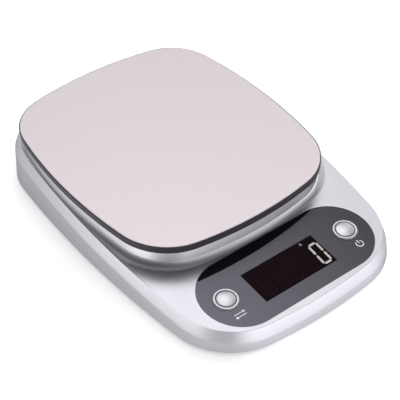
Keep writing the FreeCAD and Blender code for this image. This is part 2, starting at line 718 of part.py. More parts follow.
def coil_spring(start, length, coil_radius, wire_radius, half_turns):
    """A coil along +Y, bent as half turns that lean to and fro."""
    rise = (length - 2 * wire_radius) / half_turns
    reach = math.hypot(coil_radius, rise / 2)
    arcs = []
    for turn in range(half_turns):
        side = 1 if turn % 2 == 0 else -1
        first = start + V(side * coil_radius, wire_radius + turn * rise, 0)
        last = start + V(-side * coil_radius, wire_radius + (turn + 1) * rise, 0)
        arcs.append(Part.Arc(first, (first + last) * 0.5 + V(0, 0, side * reach), last).toShape())
    section = Part.Wire(Part.makeCircle(wire_radius, arcs[0].Vertexes[0].Point, V(0, 0, 1)))
    return Part.Wire(arcs).makePipeShell([section], True, True)


def battery_springs():
    """The coil springs at the flat end of each cell."""
    second_start = BAY_Y[0] + 0.9 + BATTERY_NUB + BATTERY_BODY
    spans = ((BAY_Y[0] + 0.4, BAY_Y[0] + 4.8), (second_start, BAY_Y[1] - 0.4))
    return compound(coil_spring(V(x, low_y, BATTERY_Z), high_y - low_y, 3.2, 0.3, 5)
                    for x, (low_y, high_y) in zip(BATTERY_XS, spans))


def battery_leads():
    """The red and black leads from the bay to the board."""
    leads = []
    for x, board_x in ((BATTERY_XS[0], 30.0), (BATTERY_XS[1], 34.0)):
        points = [V(x, BAY_Y[0] - 2.2, 12.8), V(x, -6.0, 12.8), V(board_x, -24.0, 6.6),
                  V(board_x, -52.0, 6.4), V(board_x, -69.6, 7.4)]
        leads.append(wire_run(points, 1.3, 2.5))
    return compound(leads)


def battery_cover():
    """The snap-out cover: a flush plate with a tongue at the rear and a latch finger at the front."""
    cover_x, cover_y = cover_span()
    top = PLATE_BOTTOM + COVER_THICK
    plate = block(cover_x, cover_y, (PLATE_BOTTOM, top))
    plate = plate.makeFillet(1.0, upright_edges(plate))
    tongue = block(tongue_span(), (cover_y[1] - 1.5, cover_y[1] + 1.8), (top - 0.7, top))
    latch = block(latch_span(), (cover_y[0] + 0.4, cover_y[0] + 1.4), (top - 0.5, top + 2.8))
    return fused([plate, tongue, latch])


def battery_foam():
    """A foam pad inside the cover that keeps the cells from rattling."""
    top = PLATE_BOTTOM + COVER_THICK
    return block_at((sum(BATTERY_XS) / 2, sum(BAY_Y) / 2), (8.0, 30.0), (top, top + 0.35))


# ---------------------------------------------------------------- every node

NODES = {
    "top_housing": top_housing,
    "bottom_housing": bottom_housing,
    "housing_screws": housing_screws,
    "rubber_feet": rubber_feet,
    "steel_platform_sheet": steel_platform_sheet,
    "sheet_tape": sheet_tape,
    "platform_tray": platform_tray,
    "tray_screws": tray_screws,
    "platform_bracket": platform_bracket,
    "load_cell": load_cell,
    "cell_spacer_lower": lambda: cell_spacer(-1, CELL_BOTTOM - SPACER_THICK),
    "cell_spacer_upper": lambda: cell_spacer(1, CELL_BOTTOM + CELL_SIDE),
    "cell_screws_lower": cell_screws_lower,
    "cell_screws_upper": cell_screws_upper,
    "strain_gauges": strain_gauges,
    "gauge_sealant": gauge_sealant,
    "gauge_cable": gauge_cable,
    "label_panel": label_panel,
    "unit_button": lambda: button_cap(-BUTTON_X),
    "power_button": lambda: button_cap(BUTTON_X),
    "unit_switch_body": lambda: switch_body(-BUTTON_X),
    "power_switch_body": lambda: switch_body(BUTTON_X),
    "unit_switch_plunger": lambda: switch_plunger(-BUTTON_X),
    "power_switch_plunger": lambda: switch_plunger(BUTTON_X),
    "lcd_glass": lcd_glass,
    "lcd_frame": lcd_frame,
    "lcd_backlight": lcd_backlight,
    "zebra_strip": zebra_strip,
    "main_board": main_board,
    "board_screws": board_screws,
    "controller_dome": controller_dome,
    "board_components": board_components,
    "cable_header": cable_header,
    "batteries": batteries,
    "battery_bridge": battery_bridge,
    "battery_terminals": battery_terminals,
    "battery_springs": battery_springs,
    "battery_leads": battery_leads,
    "battery_cover": battery_cover,
    "battery_foam": battery_foam,
}

for node, make in NODES.items():
    shape = make()
    box = shape.optimalBoundingBox(False, False)
    print(f"{node:22s} solids {len(shape.Solids)} valid {shape.isValid()} volume {shape.Volume:10.1f}",
          f"from ({box.XMin:.2f}, {box.YMin:.2f}, {box.ZMin:.2f})",
          f"to ({box.XMax:.2f}, {box.YMax:.2f}, {box.ZMax:.2f})")
    save(node, shape)
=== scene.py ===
"""Looks for the digital gram scale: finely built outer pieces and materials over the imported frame.

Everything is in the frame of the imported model. Sizes below are in millimetres; meshes are made in
metres. The outlines and levels follow the solid model, apart from the small differences that the
comments name, so each piece lies on its own solid.
"""
import json
import math

import bmesh
import bpy
from mathutils import Matrix, Vector


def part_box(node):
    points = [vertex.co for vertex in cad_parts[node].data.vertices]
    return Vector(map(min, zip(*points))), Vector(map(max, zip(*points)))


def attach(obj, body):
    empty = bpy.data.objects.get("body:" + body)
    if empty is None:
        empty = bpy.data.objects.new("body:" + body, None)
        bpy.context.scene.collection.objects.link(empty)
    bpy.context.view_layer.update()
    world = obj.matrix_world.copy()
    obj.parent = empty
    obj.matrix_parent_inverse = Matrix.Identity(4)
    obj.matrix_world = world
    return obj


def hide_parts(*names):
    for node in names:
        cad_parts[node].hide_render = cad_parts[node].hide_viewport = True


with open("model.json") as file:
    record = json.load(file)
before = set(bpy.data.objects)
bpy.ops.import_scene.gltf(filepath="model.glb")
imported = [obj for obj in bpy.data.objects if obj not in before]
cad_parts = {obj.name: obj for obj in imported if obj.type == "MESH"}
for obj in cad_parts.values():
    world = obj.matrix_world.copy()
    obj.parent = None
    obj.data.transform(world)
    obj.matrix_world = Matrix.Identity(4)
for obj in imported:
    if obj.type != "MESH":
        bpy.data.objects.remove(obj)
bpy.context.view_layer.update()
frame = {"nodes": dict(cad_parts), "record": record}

MM = 0.001

# ---------------------------------------------------------------- driving dimensions

CAMERA_FROM = (-346.5, -447.8, 533.6)
CAMERA_TARGET = (-9.57, -14.5, 21.0)
CAMERA_LENS = 107.91        # for a sensor 36 mm wide

FOOT_STAND = 1.8
DECK_BOTTOM = 29.0
DECK_TOP = 31.2
RIM_BOTTOM = 32.05          # a hair above the solid's, so the pressed tray just clears the deck
TRAY_WEB = 33.6
TRAY_FACE = 35.6
SHEET_BOTTOM = 35.9
TRAY_TOP = 36.1
SHEET_TOP = 36.4

SLOPE = 0.068               # the housing's top falls towards the front
WALL_LEVEL = 15.6           # levels are at y = 0
TOP_LEVEL = 22.75
NECK_RISE = 3.2
BEVEL_INSET = 3.0
WALL_FLARE = 1.15
WALL = 1.6
SKIN = 2.2

BODY = dict(half_width=84.0, widest_y=14.2, side_radius=699.0,
            front_y=-120.85, front_radius=344.0, back_y=120.85, back_radius=344.0,
            front_corner=43.9, back_corner=40.3)
SHEET = dict(half_width=78.7, widest_y=30.7, side_radius=324.0,
             front_y=-58.7, front_radius=241.0, back_y=120.1, back_radius=234.0,
             front_corner=39.0, back_corner=34.4)
NECK_FOOT = dict(half_width=80.8, widest_y=14.2, side_radius=699.0,
                 front_y=-60.4, front_radius=344.0, back_y=117.6, back_radius=344.0,
                 front_corner=40.0, back_corner=37.0)
HOLLOW_INSET = 6.6          # the hollow under the deck, in from the sheet's outline
DECK_INSET = 7.0            # the last ring on the deck's top, in from the sheet's outline
HOUSING_EDGES = (0.35, 0.6, 0.15)       # easing at the foot, under the bevel and above it

CREASE_INSET = 1.2          # the neck's crease, in from the sheet's outline
CREASE_LIP = 0.1            # the band above the crease stands out from the cove by this much
NECK_LEAN = 0.31            # above the crease the neck leans in by this much for each unit of height
COVE_LEAN = 0.58            # below the crease the cove leans out by this much for each unit of fall
COVE_SHARE = 0.7            # and by no more than this share of the way from its foot to the crease

SHEET_TUCK = 0.3            # the sheet's underside goes in this far under its edge
SHEET_FLAT = 3.0            # the last ring on the sheet's top, in from its outline
SHEET_EDGE = 0.32

RIM_LIP = 0.75
# The skirt is painted shade: dark plastic put where the gap under the rim lies in shadow.
SKIRT_BOTTOM = 31.65        # at y = 0; the solid's rim has no skirt below its underside
SKIRT_SLOPE = 0.0033
LIP_GAP = 0.06              # between the rim and the sheet
WEB_INSET = 2.0
FACE_INSET = 1.2
RIM_EDGES = (0.4, 0.22)     # easing at the rim's foot and at its top
RIB_BOTTOM = 32.8
RIB_THICK = 1.5
RIB_XS = (-48.0, 0.0, 48.0)
RIB_LENGTH = 120.0
CROSS_RIB_YS = (-58.0, 58.0)            # from the sheet's widest y, like the bosses
CROSS_RIB_LENGTH = 110.0
BOSS_XS = (-30.0, 30.0)
BOSS_YS = (-28.0, 28.0)
BOSS_RADIUS = 4.5
WEB_OVERLAP = 0.4           # ribs and bosses run up into the web

PANEL_Y = -87.0
LABEL_HALF_LENGTH = 62.5
LABEL_RADIUS = 26.1
LABEL_BOTTOM = -0.75        # w, square to the panel
LABEL_TOP = -0.15
SEAT_GAP = 0.2
PRINT_DEPTH = 0.1           # a printed area starts this far below its face
PRINT_RISE = 0.012
# the span serves the printed marks and the crescent of painted reflection
PRINT_AND_REFLECTION_SPAN = (LABEL_TOP - PRINT_DEPTH, LABEL_TOP + PRINT_RISE)
REFLECTION_MARGIN = 0.25         # from the label's edge
WINDOW_SIZE = (55.4, 24.6)
WINDOW_CENTRE = (-0.9, -2.9)
WINDOW_LEDGE = 1.0          # the housing's window is this much smaller on each side
PANE_GAP = 0.02
PANE_TOP = LABEL_TOP - 0.02

BUTTON_X = 46.9
BUTTON_RADIUS = 5.9
DOME_TOP = 1.35
DOME_FOOT = 0.5
FLANGE_SPAN = (-3.2, -2.6)
FLANGE_REACH = 1.0          # the flange goes this far under the collar
STEM_RADIUS = 1.6
STEM_BOTTOM = -3.4
COLLAR_INNER = 6.2
COLLAR_OUTER = 8.0          # 0.3 more than the solid's
COLLAR_GAP = 0.08

# The label's black crescent is a painted reflection of the platform's dark front edge, mirrored in the
# gloss.
SWOOSH_X = -20.0            # the crescent's lower edge is nearest to the display here
SWOOSH_Y = 18.5
SWOOSH_BEND = 0.00175
SWOOSH_SPAN = (-54.0, 44.0)

DIGIT_COUNT = 5
DIGIT_HALF = (2.9, 8.1)
DIGIT_LEAN = 0.06
DIGIT_PITCH = 10.6
DIGIT_CENTRE = (21.9, -5.0)             # of the rightmost digit
STROKE = 0.76               # half a segment's width
SEGMENT_GAP = 0.28
UNLIT_RISE = 0.006
UNIT_MARK_CENTRE = (16.6, 7.0)
UNIT_BAR = (1.3, 0.45)
UNIT_BAR_YS = (-0.55, 0.55)             # two bars, from the mark's centre

SYMBOL_Y = -13.4            # of the two symbols in front of the buttons
SYMBOL_LINE = 0.68          # their lines' width
STANDBY_RADIUS = 2.3
STANDBY_ARC = (125, 415)    # degrees; the gap is at the rear
STANDBY_BAR = (0.4, 3.1)    # from the ring's centre
SWAP_LINE = 0.544
SWAP_OFFSET = 1.15
SWAP_TAIL = -3.6
SWAP_NECK = 2.5
SWAP_TIP = 4.3
SWAP_HEAD = 1.1             # half the arrow head's width


# ---------------------------------------------------------------- camera

def add_camera():
    """The photograph's viewpoint."""
    camera = bpy.data.objects.new("camera", bpy.data.cameras.new("camera"))
    bpy.context.scene.collection.objects.link(camera)
    camera.location = Vector(CAMERA_FROM) * MM
    target = Vector(CAMERA_TARGET) * MM
    camera.rotation_euler = (target - camera.location).to_track_quat("-Z", "Y").to_euler()
    camera.data.sensor_width = 36.0
    camera.data.lens = CAMERA_LENS
    camera.data.clip_start = 0.01
    camera.data.clip_end = 20.0
    bpy.context.scene.camera = camera


add_camera()


# ---------------------------------------------------------------- outlines

END_STEPS = 16              # points on half of an end
CORNER_STEPS = 26
SIDE_STEPS = 34


def grown(shape, by):
    """The same outline, moved outwards by a distance."""
    wider = dict(shape)
    for name in ("half_width", "side_radius", "front_radius", "back_radius", "back_y",
                 "front_corner", "back_corner"):
        wider[name] = shape[name] + by
    wider["front_y"] = shape["front_y"] - by
    return wider


def corner_centre(side_centre, side_radius, end_centre, end_radius, corner, toward):
    """Centre of the corner's circle that touches the side's arc and an end's arc from inside."""
    side_reach = side_radius - corner
    end_reach = end_radius - corner
    between = end_centre - side_centre
    gap = between.length
    along = (side_reach ** 2 - end_reach ** 2 + gap ** 2) / (2 * gap)
    across = math.sqrt(side_reach ** 2 - along ** 2)
    direction = between / gap
    square = Vector((-direction.y, direction.x))
    foot = side_centre + direction * along
    return max((foot + square * across, foot - square * across), key=lambda p: p.x + toward * p.y)


def arc(centre, radius, start, end, count):
    """Points from one direction to another about a centre, without the last one."""
    first = math.atan2(start.y, start.x)
    last = math.atan2(end.y, end.x)
    return [centre + radius * Vector((math.cos(a), math.sin(a)))
            for a in (first + (last - first) * i / count for i in range(count))]


def outline(shape):
    """The outline's points in plan, counter-clockwise from the middle of the front."""
    side = Vector((shape["half_width"] - shape["side_radius"], shape["widest_y"]))
    front = Vector((0, shape["front_y"] + shape["front_radius"]))
    back = Vector((0, shape["back_y"] - shape["back_radius"]))
    side_radius = shape["side_radius"]
    front_mid = corner_centre(side, side_radius, front, shape["front_radius"], shape["front_corner"], -1)
    back_mid = corner_centre(side, side_radius, back, shape["back_radius"], shape["back_corner"], 1)
    right = arc(front, shape["front_radius"], Vector((0, -1)), front_mid - front, END_STEPS)
    right += arc(front_mid, shape["front_corner"], front_mid - front, front_mid - side, CORNER_STEPS)
    right += arc(side, side_radius, front_mid - side, back_mid - side, SIDE_STEPS)
    right += arc(back_mid, shape["back_corner"], back_mid - side, back_mid - back, CORNER_STEPS)
    right += arc(back, shape["back_radius"], back_mid - back, Vector((0, 1)), END_STEPS)
    middle_back = Vector((0, shape["back_y"]))
    left = [Vector((-p.x, p.y)) for p in reversed(right[1:])]
    return right + [middle_back] + left


def ring(shape, level, slope=0.0):
    """The outline's points on a level or sloping plane."""
    return [Vector((p.x, p.y, level + slope * p.y)) for p in outline(shape)]


def circle(radius, w, centre=(0.0, 0.0), count=96):
    """Points of a level circle."""
    return [Vector((centre[0] + radius * math.cos(a), centre[1] + radius * math.sin(a), w))
            for a in (2 * math.pi * i / count for i in range(count))]


def stadium(half_length, radius, w, count=48):
    """Points of a slot shape with round ends."""
    straight = half_length - radius
    right = [Vector((straight + radius * math.cos(a), radius * math.sin(a), w))
             for a in (-math.pi / 2 + math.pi * i / count for i in range(count + 1))]
    left = [Vector((-p.x, -p.y, p.z)) for p in right]
    return right + left


def rectangle(centre, size, w, corner=0.4):
    """Points of a rectangle with small round corners."""
    points = []
    for sx, sy, start in ((1, -1, -90), (1, 1, 0), (-1, 1, 90), (-1, -1, 180)):
        middle = (centre[0] + sx * (size[0] / 2 - corner), centre[1] + sy * (size[1] / 2 - corner))
        for step in range(5):
            a = math.radians(start + 90 * step / 4)
            points.append(Vector((middle[0] + corner * math.cos(a), middle[1] + corner * math.sin(a), w)))
    return points


# ---------------------------------------------------------------- meshes

def rounded(rings, radius, steps=4):
    """Rings with every edge between the first and the last ring eased.

    radius is one number or one for each inner ring; 0 leaves the edge sharp. Beside each easing
    goes a support ring, which keeps the flat on either side flat in the shading.
    """
    radii = [radius] * (len(rings) - 2) if isinstance(radius, (int, float)) else radius
    result = [rings[0]]
    for before, edge, after, size in zip(rings, rings[1:], rings[2:], radii):
        if size == 0:
            result.append(edge)
            continue
        eased = [[] for _ in range(steps + 3)]
        for a, b, c in zip(before, edge, after):
            back = (a - b) * min(size / (a - b).length, 0.42)
            ahead = (c - b) * min(size / (c - b).length, 0.42)
            eased[0].append(b + back * 1.15)
            for step in range(steps + 1):
                t = step / steps
                eased[step + 1].append(b + back * (1 - t) ** 2 + ahead * t ** 2)
            eased[-1].append(b + ahead * 1.15)
        result += eased
    result.append(rings[-1])
    return result


def add_skin(mesh, rings):
    """Adds the closed skin through rings, with flat caps on the first and the last."""
    loops = [[mesh.verts.new(p * MM) for p in points] for points in rings]
    for low, high in zip(loops, loops[1:]):
        for i in range(len(low)):
            j = (i + 1) % len(low)
            mesh.faces.new((low[i], low[j], high[j], high[i]))
    mesh.faces.new(list(reversed(loops[0])))
    mesh.faces.new(loops[-1])


def add_prism(mesh, corners, z):
    """Adds an upright prism from its corners in plan and its (low, high) span."""
    add_skin(mesh, [[Vector((px, py, pz)) for px, py in corners] for pz in z])


def add_block(mesh, x, y, z):
    """Adds a box from its (low, high) span along each axis."""
    add_prism(mesh, ((x[0], y[0]), (x[1], y[0]), (x[1], y[1]), (x[0], y[1])), z)


def centred(middle, size):
    """The (low, high) span of a size about a middle."""
    return (middle - size / 2, middle + size / 2)


def finished(mesh, name, placement=None, sharp=35.0):
    """An object from a bmesh, smooth except at sharp edges."""
    bmesh.ops.recalc_face_normals(mesh, faces=mesh.faces)
    data = bpy.data.meshes.new(name)
    mesh.to_mesh(data)
    mesh.free()
    if placement is not None:
        data.transform(placement)
    data.polygons.foreach_set("use_smooth", [True] * len(data.polygons))
    data.set_sharp_from_angle(angle=math.radians(sharp))
    piece = bpy.data.objects.new(name, data)
    bpy.context.scene.collection.objects.link(piece)
    return piece


def skin_piece(name, rings, placement=None, sharp=35.0):
    """A piece that is one closed skin."""
    mesh = bmesh.new()
    add_skin(mesh, rings)
    return finished(mesh, name, placement, sharp)


def cut_from(piece, cutters, sharp=35.0):
    """Takes the cutters away from a piece, and removes them."""
    for cutter in cutters:
        modifier = piece.modifiers.new("cut", "BOOLEAN")
        modifier.operation = "DIFFERENCE"
        modifier.solver = "EXACT"
        modifier.object = cutter
    graph = bpy.context.evaluated_depsgraph_get()
    data = bpy.data.meshes.new_from_object(piece.evaluated_get(graph))
    piece.modifiers.clear()
    data.name = piece.name
    data.set_sharp_from_angle(angle=math.radians(sharp))
    piece.data = data
    for cutter in cutters:
        bpy.data.objects.remove(cutter)


PANEL = (Matrix.Translation(Vector((0, PANEL_Y, TOP_LEVEL + SLOPE * PANEL_Y)) * MM)
         @ Matrix.Rotation(math.atan(SLOPE), 4, "X"))


# ---------------------------------------------------------------- materials

class Shader:
    """A Principled material with procedural textures in object space."""

    def __init__(self, name, base, roughness, metallic=0.0, **sockets):
        self.material = bpy.data.materials.new(name)
        self.material.use_nodes = True
        self.material.diffuse_color = (*base, 1.0)
        self.tree = self.material.node_tree
        self.surface = self.tree.nodes["Principled BSDF"]
        self.base = base
        self.surface.inputs["Base Color"].default_value = (*base, 1.0)
        self.surface.inputs["Roughness"].default_value = roughness
        self.surface.inputs["Metallic"].default_value = metallic
        for socket, value in sockets.items():
            self.surface.inputs[socket.replace("_", " ")].default_value = value
        self.height = None

    def node(self, kind, **settings):
        made = self.tree.nodes.new(kind)
        for key, value in settings.items():
            setattr(made, key, value)
        return made

    def link(self, source, target):
        self.tree.links.new(source, target)

    def place(self, stretch=(1, 1, 1)):
        """Object-space coordinates, stretched by a factor along each axis."""
        coordinates = self.node("ShaderNodeTexCoord")
        mapping = self.node("ShaderNodeMapping")
        mapping.inputs["Scale"].default_value = stretch
        self.link(coordinates.outputs["Object"], mapping.inputs["Vector"])
        return mapping.outputs["Vector"]

    def noise(self, size, detail=3.0, stretch=(1, 1, 1)):
        """Cloudy noise whose features are about size metres across."""
        texture = self.node("ShaderNodeTexNoise")
        texture.inputs["Scale"].default_value = 1.0 / size
        texture.inputs["Detail"].default_value = detail
        self.link(self.place(stretch), texture.inputs["Vector"])
        return texture.outputs["Fac"]

    def flakes(self, size):
        """A different random value on each small cell."""
        texture = self.node("ShaderNodeTexVoronoi")
        texture.inputs["Scale"].default_value = 1.0 / size
        self.link(self.place(), texture.inputs["Vector"])
        split = self.node("ShaderNodeSeparateColor")
        self.link(texture.outputs["Color"], split.inputs["Color"])
        return split.outputs["Red"]

    def remapped(self, value, low, high, from_low=0.3, from_high=0.7):
        """A 0 to 1 texture value as a value between two numbers."""
        remap = self.node("ShaderNodeMapRange")
        remap.inputs["From Min"].default_value = from_low
        remap.inputs["From Max"].default_value = from_high
        remap.inputs["To Min"].default_value = low
        remap.inputs["To Max"].default_value = high
        self.link(value, remap.inputs["Value"])
        return remap.outputs["Result"]

    def vary_colour(self, value, dark, light, from_low=0.3, from_high=0.7):
        """The colour goes from dark to light times the base colour as the texture value rises."""
        mix = self.node("ShaderNodeMix", data_type="RGBA")
        mix.inputs["A"].default_value = (*(c * dark for c in self.base), 1.0)
        mix.inputs["B"].default_value = (*(min(c * light, 1.0) for c in self.base), 1.0)
        self.link(self.remapped(value, 0.0, 1.0, from_low, from_high), mix.inputs["Factor"])
        self.link(mix.outputs["Result"], self.surface.inputs["Base Color"])

    def vary_roughness(self, value, low, high):
        """The roughness goes from low to high as the texture value rises."""
        self.link(self.remapped(value, low, high), self.surface.inputs["Roughness"])

    def bump(self, value, strength, distance):
        """Adds a fine relief. distance is its depth in metres."""
        relief = self.node("ShaderNodeBump")
        relief.inputs["Strength"].default_value = strength
        relief.inputs["Distance"].default_value = distance
        self.link(value, relief.inputs["Height"])
        if self.height is not None:
            self.link(self.height, relief.inputs["Normal"])
        self.height = relief.outputs["Normal"]
        self.link(self.height, self.surface.inputs["Normal"])


def moulded(name, base, roughness, texture=0.0006, depth=0.00002, **sockets):
    """Moulded plastic: a fine spark-eroded texture and slightly uneven gloss."""
    shader = Shader(name, base, roughness, **sockets)
    shader.vary_colour(shader.noise(0.006), 0.95, 1.04)
    shader.vary_roughness(shader.noise(0.003), roughness - 0.05, roughness + 0.07)
    shader.bump(shader.noise(texture, 2.0), 0.35, depth)
    return shader.material


def metal(name, base, roughness, stretch=(1, 1, 1), grain=0.0008, depth=0.00001):
    """Bare or plated metal with a grain; a stretch below 1 draws the grain out along that axis."""
    shader = Shader(name, base, roughness, metallic=1.0)
    shader.vary_colour(shader.noise(0.004, stretch=stretch), 0.93, 1.04)
    shader.vary_roughness(shader.noise(grain, 3.0, stretch), roughness - 0.06, roughness + 0.08)
    shader.bump(shader.noise(grain, 2.0, stretch), 0.25, depth)
    return shader.material


def silver_paint():
    """Satin metallic paint: fine flakes under a thin lacquer."""
    shader = Shader("silver_paint", (0.49, 0.482, 0.519), 0.31, metallic=0.8,
                    Specular_Tint=(0.4, 0.4, 0.42, 1.0))
    shader.vary_colour(shader.flakes(0.00025), 0.95, 1.05, 0.0, 1.0)
    shader.vary_roughness(shader.noise(0.02), 0.29, 0.33)
    shader.bump(shader.noise(0.0006, 2.0), 0.05, 0.00001)
    return shader.material


def satin_steel():
    """The platform's stainless sheet: a very fine straight satin grain and a faint warm tint."""
    shader = Shader("satin_steel", (0.705, 0.635, 0.67), 0.36, metallic=0.3)
    grain = (0.03, 1, 1)
    shader.vary_colour(shader.noise(0.0003, 3.0, grain), 0.975, 1.02)
    shader.vary_roughness(shader.noise(0.0003, 2.0, grain), 0.34, 0.39)
    shader.bump(shader.noise(0.00025, 2.0, grain), 0.05, 0.000003)
    return shader.material


def label_film_painted_sheen():
    """The glossy label's grey, which is partly painted sheen and is painted lighter towards its left end.
    """
    shader = Shader("label_film_painted_sheen", (0.1, 0.098, 0.118), 0.3, Specular_IOR_Level=0.1)
    place = shader.node("ShaderNodeSeparateXYZ")
    shader.link(shader.place(), place.inputs["Vector"])
    # painted sheen: the base colour is lighter towards the left end and darker towards the right
    shader.vary_colour(place.outputs["X"], 1.85, 0.62, -0.062, 0.062)
    shader.vary_roughness(shader.noise(0.015), 0.22, 0.30)
    shader.bump(shader.noise(0.0006), 0.05, 0.00001)
    return shader.material


def gloss_print_and_reflection(name, base, roughness=0.16):
    """A printed or clear glossy area of the label, or a painted reflection on it."""
    shader = Shader(name, base, roughness, Specular_IOR_Level=0.015)
    shader.vary_colour(shader.noise(0.004), 0.9, 1.1)
    shader.vary_roughness(shader.noise(0.01), roughness - 0.03, roughness + 0.05)
    return shader.material


def lit_print(name, base):
    """A lit segment of the display."""
    shader = Shader(name, base, 0.4, Emission_Color=(*base, 1.0), Emission_Strength=0.2)
    shader.vary_colour(shader.noise(0.002), 0.9, 1.1)
    return shader.material


def make_materials():
    """Every finish, by material slot of the record, with a few extra printed ones and one for a painted
    reflection.
    """
    return {
        "silver_housing": silver_paint(),
        "silver_button": silver_paint(),
        "stainless_sheet": satin_steel(),
        "tray_plastic": moulded("tray_plastic", (0.038, 0.036, 0.043), 0.42, Specular_IOR_Level=0.2),
        "base_plastic": moulded("base_plastic", (0.52, 0.52, 0.55), 0.5),
        "foot_rubber": moulded("foot_rubber", (0.03, 0.03, 0.032), 0.75, 0.0009, 0.00004),
        "tape_foam": moulded("tape_foam", (0.05, 0.05, 0.055), 0.9, 0.0005, 0.00008),
        "screw_steel": metal("screw_steel", (0.62, 0.62, 0.64), 0.28),
        "bracket_steel": metal("bracket_steel", (0.56, 0.57, 0.60), 0.36),
        "cell_aluminium": metal("cell_aluminium", (0.78, 0.78, 0.80), 0.34, (1, 0.06, 1)),
        "contact_plating": metal("contact_plating", (0.68, 0.66, 0.62), 0.22),
        "gauge_foil": moulded("gauge_foil", (0.55, 0.27, 0.07), 0.4, 0.0002),
        "sealant": moulded("sealant", (0.82, 0.81, 0.78), 0.55, 0.0015, 0.00012),
        "cable_jacket": moulded("cable_jacket", (0.12, 0.12, 0.13), 0.5),
        "label_print": label_film_painted_sheen(),
        # painted reflection: the crescent's black stands for the platform's dark front edge mirrored in the
        # glossy label
        "label_black": gloss_print_and_reflection("label_black", (0.006, 0.006, 0.008)),
        "display_dark": gloss_print_and_reflection("display_dark", (0.0075, 0.002, 0.0042)),
        "display_ghost": gloss_print_and_reflection("display_ghost", (0.0105, 0.004, 0.007)),
        "display_lit": lit_print("display_lit", (0.46, 0.46, 0.44)),
        "label_white": gloss_print_and_reflection("label_white", (0.9, 0.9, 0.93), 0.3),
        "switch_case": moulded("switch_case", (0.02, 0.02, 0.02), 0.45),
        "switch_plunger": moulded("switch_plunger", (0.62, 0.56, 0.42), 0.45),
        "display_glass": gloss_print_and_reflection("display_glass", (0.012, 0.006, 0.010), 0.08),
        "inner_plastic": moulded("inner_plastic", (0.03, 0.03, 0.032), 0.5),
        "light_guide": moulded("light_guide", (0.85, 0.85, 0.83), 0.3),
        "zebra_rubber": moulded("zebra_rubber", (0.14, 0.12, 0.16), 0.6, 0.0004),
        "board_laminate": moulded("board_laminate", (0.02, 0.14, 0.045), 0.3, 0.0012),
        "black_resin": moulded("black_resin", (0.012, 0.012, 0.013), 0.25, 0.002),
        "header_plastic": moulded("header_plastic", (0.72, 0.69, 0.60), 0.45),
        "battery_jacket": moulded("battery_jacket", (0.05, 0.06, 0.09), 0.28),
        "lead_jacket": moulded("lead_jacket", (0.30, 0.02, 0.02), 0.42),
    }


MATERIALS = make_materials()


def dress(piece, slot, body, *nodes):
    """Gives a new piece its finish, its body and the CAD nodes it stands for."""
    piece.data.materials.append(MATERIALS[slot])
    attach(piece, body)
    if nodes:
        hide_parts(*nodes)


# ---------------------------------------------------------------- housing

def neck_rings():
    """The neck from its foot: a cove up to a fine crease, then a band that leans in to the deck.

    inward is the crease moved in by one, so high - inner is the unit direction outwards.
    """
    foot = ring(NECK_FOOT, TOP_LEVEL, SLOPE)
    crease = ring(grown(SHEET, -CREASE_INSET), TOP_LEVEL + NECK_RISE, SLOPE)
    inward = ring(grown(SHEET, -CREASE_INSET - 1), TOP_LEVEL + NECK_RISE, SLOPE)
    just_under_deck = DECK_TOP - 0.01
    rings = []
    steps = 24
    for step in range(1, steps + 1):
        t = step / steps
        points = []
        for low, high, inner in zip(foot, crease, inward):
            outward = (high - inner) * min(NECK_RISE * COVE_LEAN, COVE_SHARE * (low - high).length)
            bend = Vector((high.x, high.y, low.z + SLOPE * (high.y - low.y))) + outward
            points.append(low * (1 - t) ** 2 + bend * 2 * t * (1 - t) + high * t ** 2)
        rings.append(points)
    band_foot = []
    band_top = []
    for high, inner in zip(crease, inward):
        height = max(DECK_TOP - high.z, 0.0)
        start = high - (inner - high) * CREASE_LIP
        lean = (inner - high) * NECK_LEAN * height
        band_foot.append(start)
        band_top.append(Vector((start.x + lean.x, start.y + lean.y, DECK_TOP)))
    rings.append(band_foot)
    below = [[Vector((p.x, p.y, min(p.z, just_under_deck))) for p in points] for points in rings]
    return below + [band_top]


def housing_rings():
    """The upper housing's skin, from the hollow under the deck round the wall to the deck's top."""
    hollow_deck = grown(SHEET, -HOLLOW_INSET)
    hollow_wall = grown(BODY, -WALL)
    hollow_top = grown(BODY, -BEVEL_INSET - WALL)
    inside = [ring(hollow_deck, DECK_BOTTOM), ring(hollow_deck, TOP_LEVEL - SKIN, SLOPE),
              ring(hollow_top, TOP_LEVEL - SKIN, SLOPE), ring(hollow_wall, WALL_LEVEL - 1.5, SLOPE)]
    foot = grown(BODY, WALL_FLARE)
    outside = [ring(grown(foot, -WALL), FOOT_STAND), ring(foot, FOOT_STAND), ring(BODY, WALL_LEVEL, SLOPE),
               ring(grown(BODY, -BEVEL_INSET), TOP_LEVEL, SLOPE), ring(NECK_FOOT, TOP_LEVEL, SLOPE)]
    deck = [ring(grown(SHEET, -DECK_INSET), DECK_TOP)]
    return inside + rounded(outside, HOUSING_EDGES) + neck_rings() + deck


def smaller_window(by):
    """The window's size, less a distance on every side."""
    return (WINDOW_SIZE[0] - 2 * by, WINDOW_SIZE[1] - 2 * by)


def build_housing():
    """The silver housing, with the label's seat, the button holes and the window let into it."""
    shell = skin_piece("silver_shell", housing_rings())
    through = (-9.0, 6.0)
    above_label = (LABEL_BOTTOM, through[1])
    seat_radius = LABEL_RADIUS + SEAT_GAP
    seat_length = LABEL_HALF_LENGTH + SEAT_GAP
    window = smaller_window(WINDOW_LEDGE)
    outlines = [[stadium(seat_length, seat_radius, w) for w in above_label]]
    outlines += [[circle(COLLAR_INNER, w, (x, 0)) for w in through] for x in (-BUTTON_X, BUTTON_X)]
    outlines.append([rectangle(WINDOW_CENTRE, window, w) for w in through])
    cut_from(shell, [skin_piece("cutter", rings, PANEL) for rings in outlines], sharp=24.0)
    dress(shell, "silver_housing", "base", "top_housing")


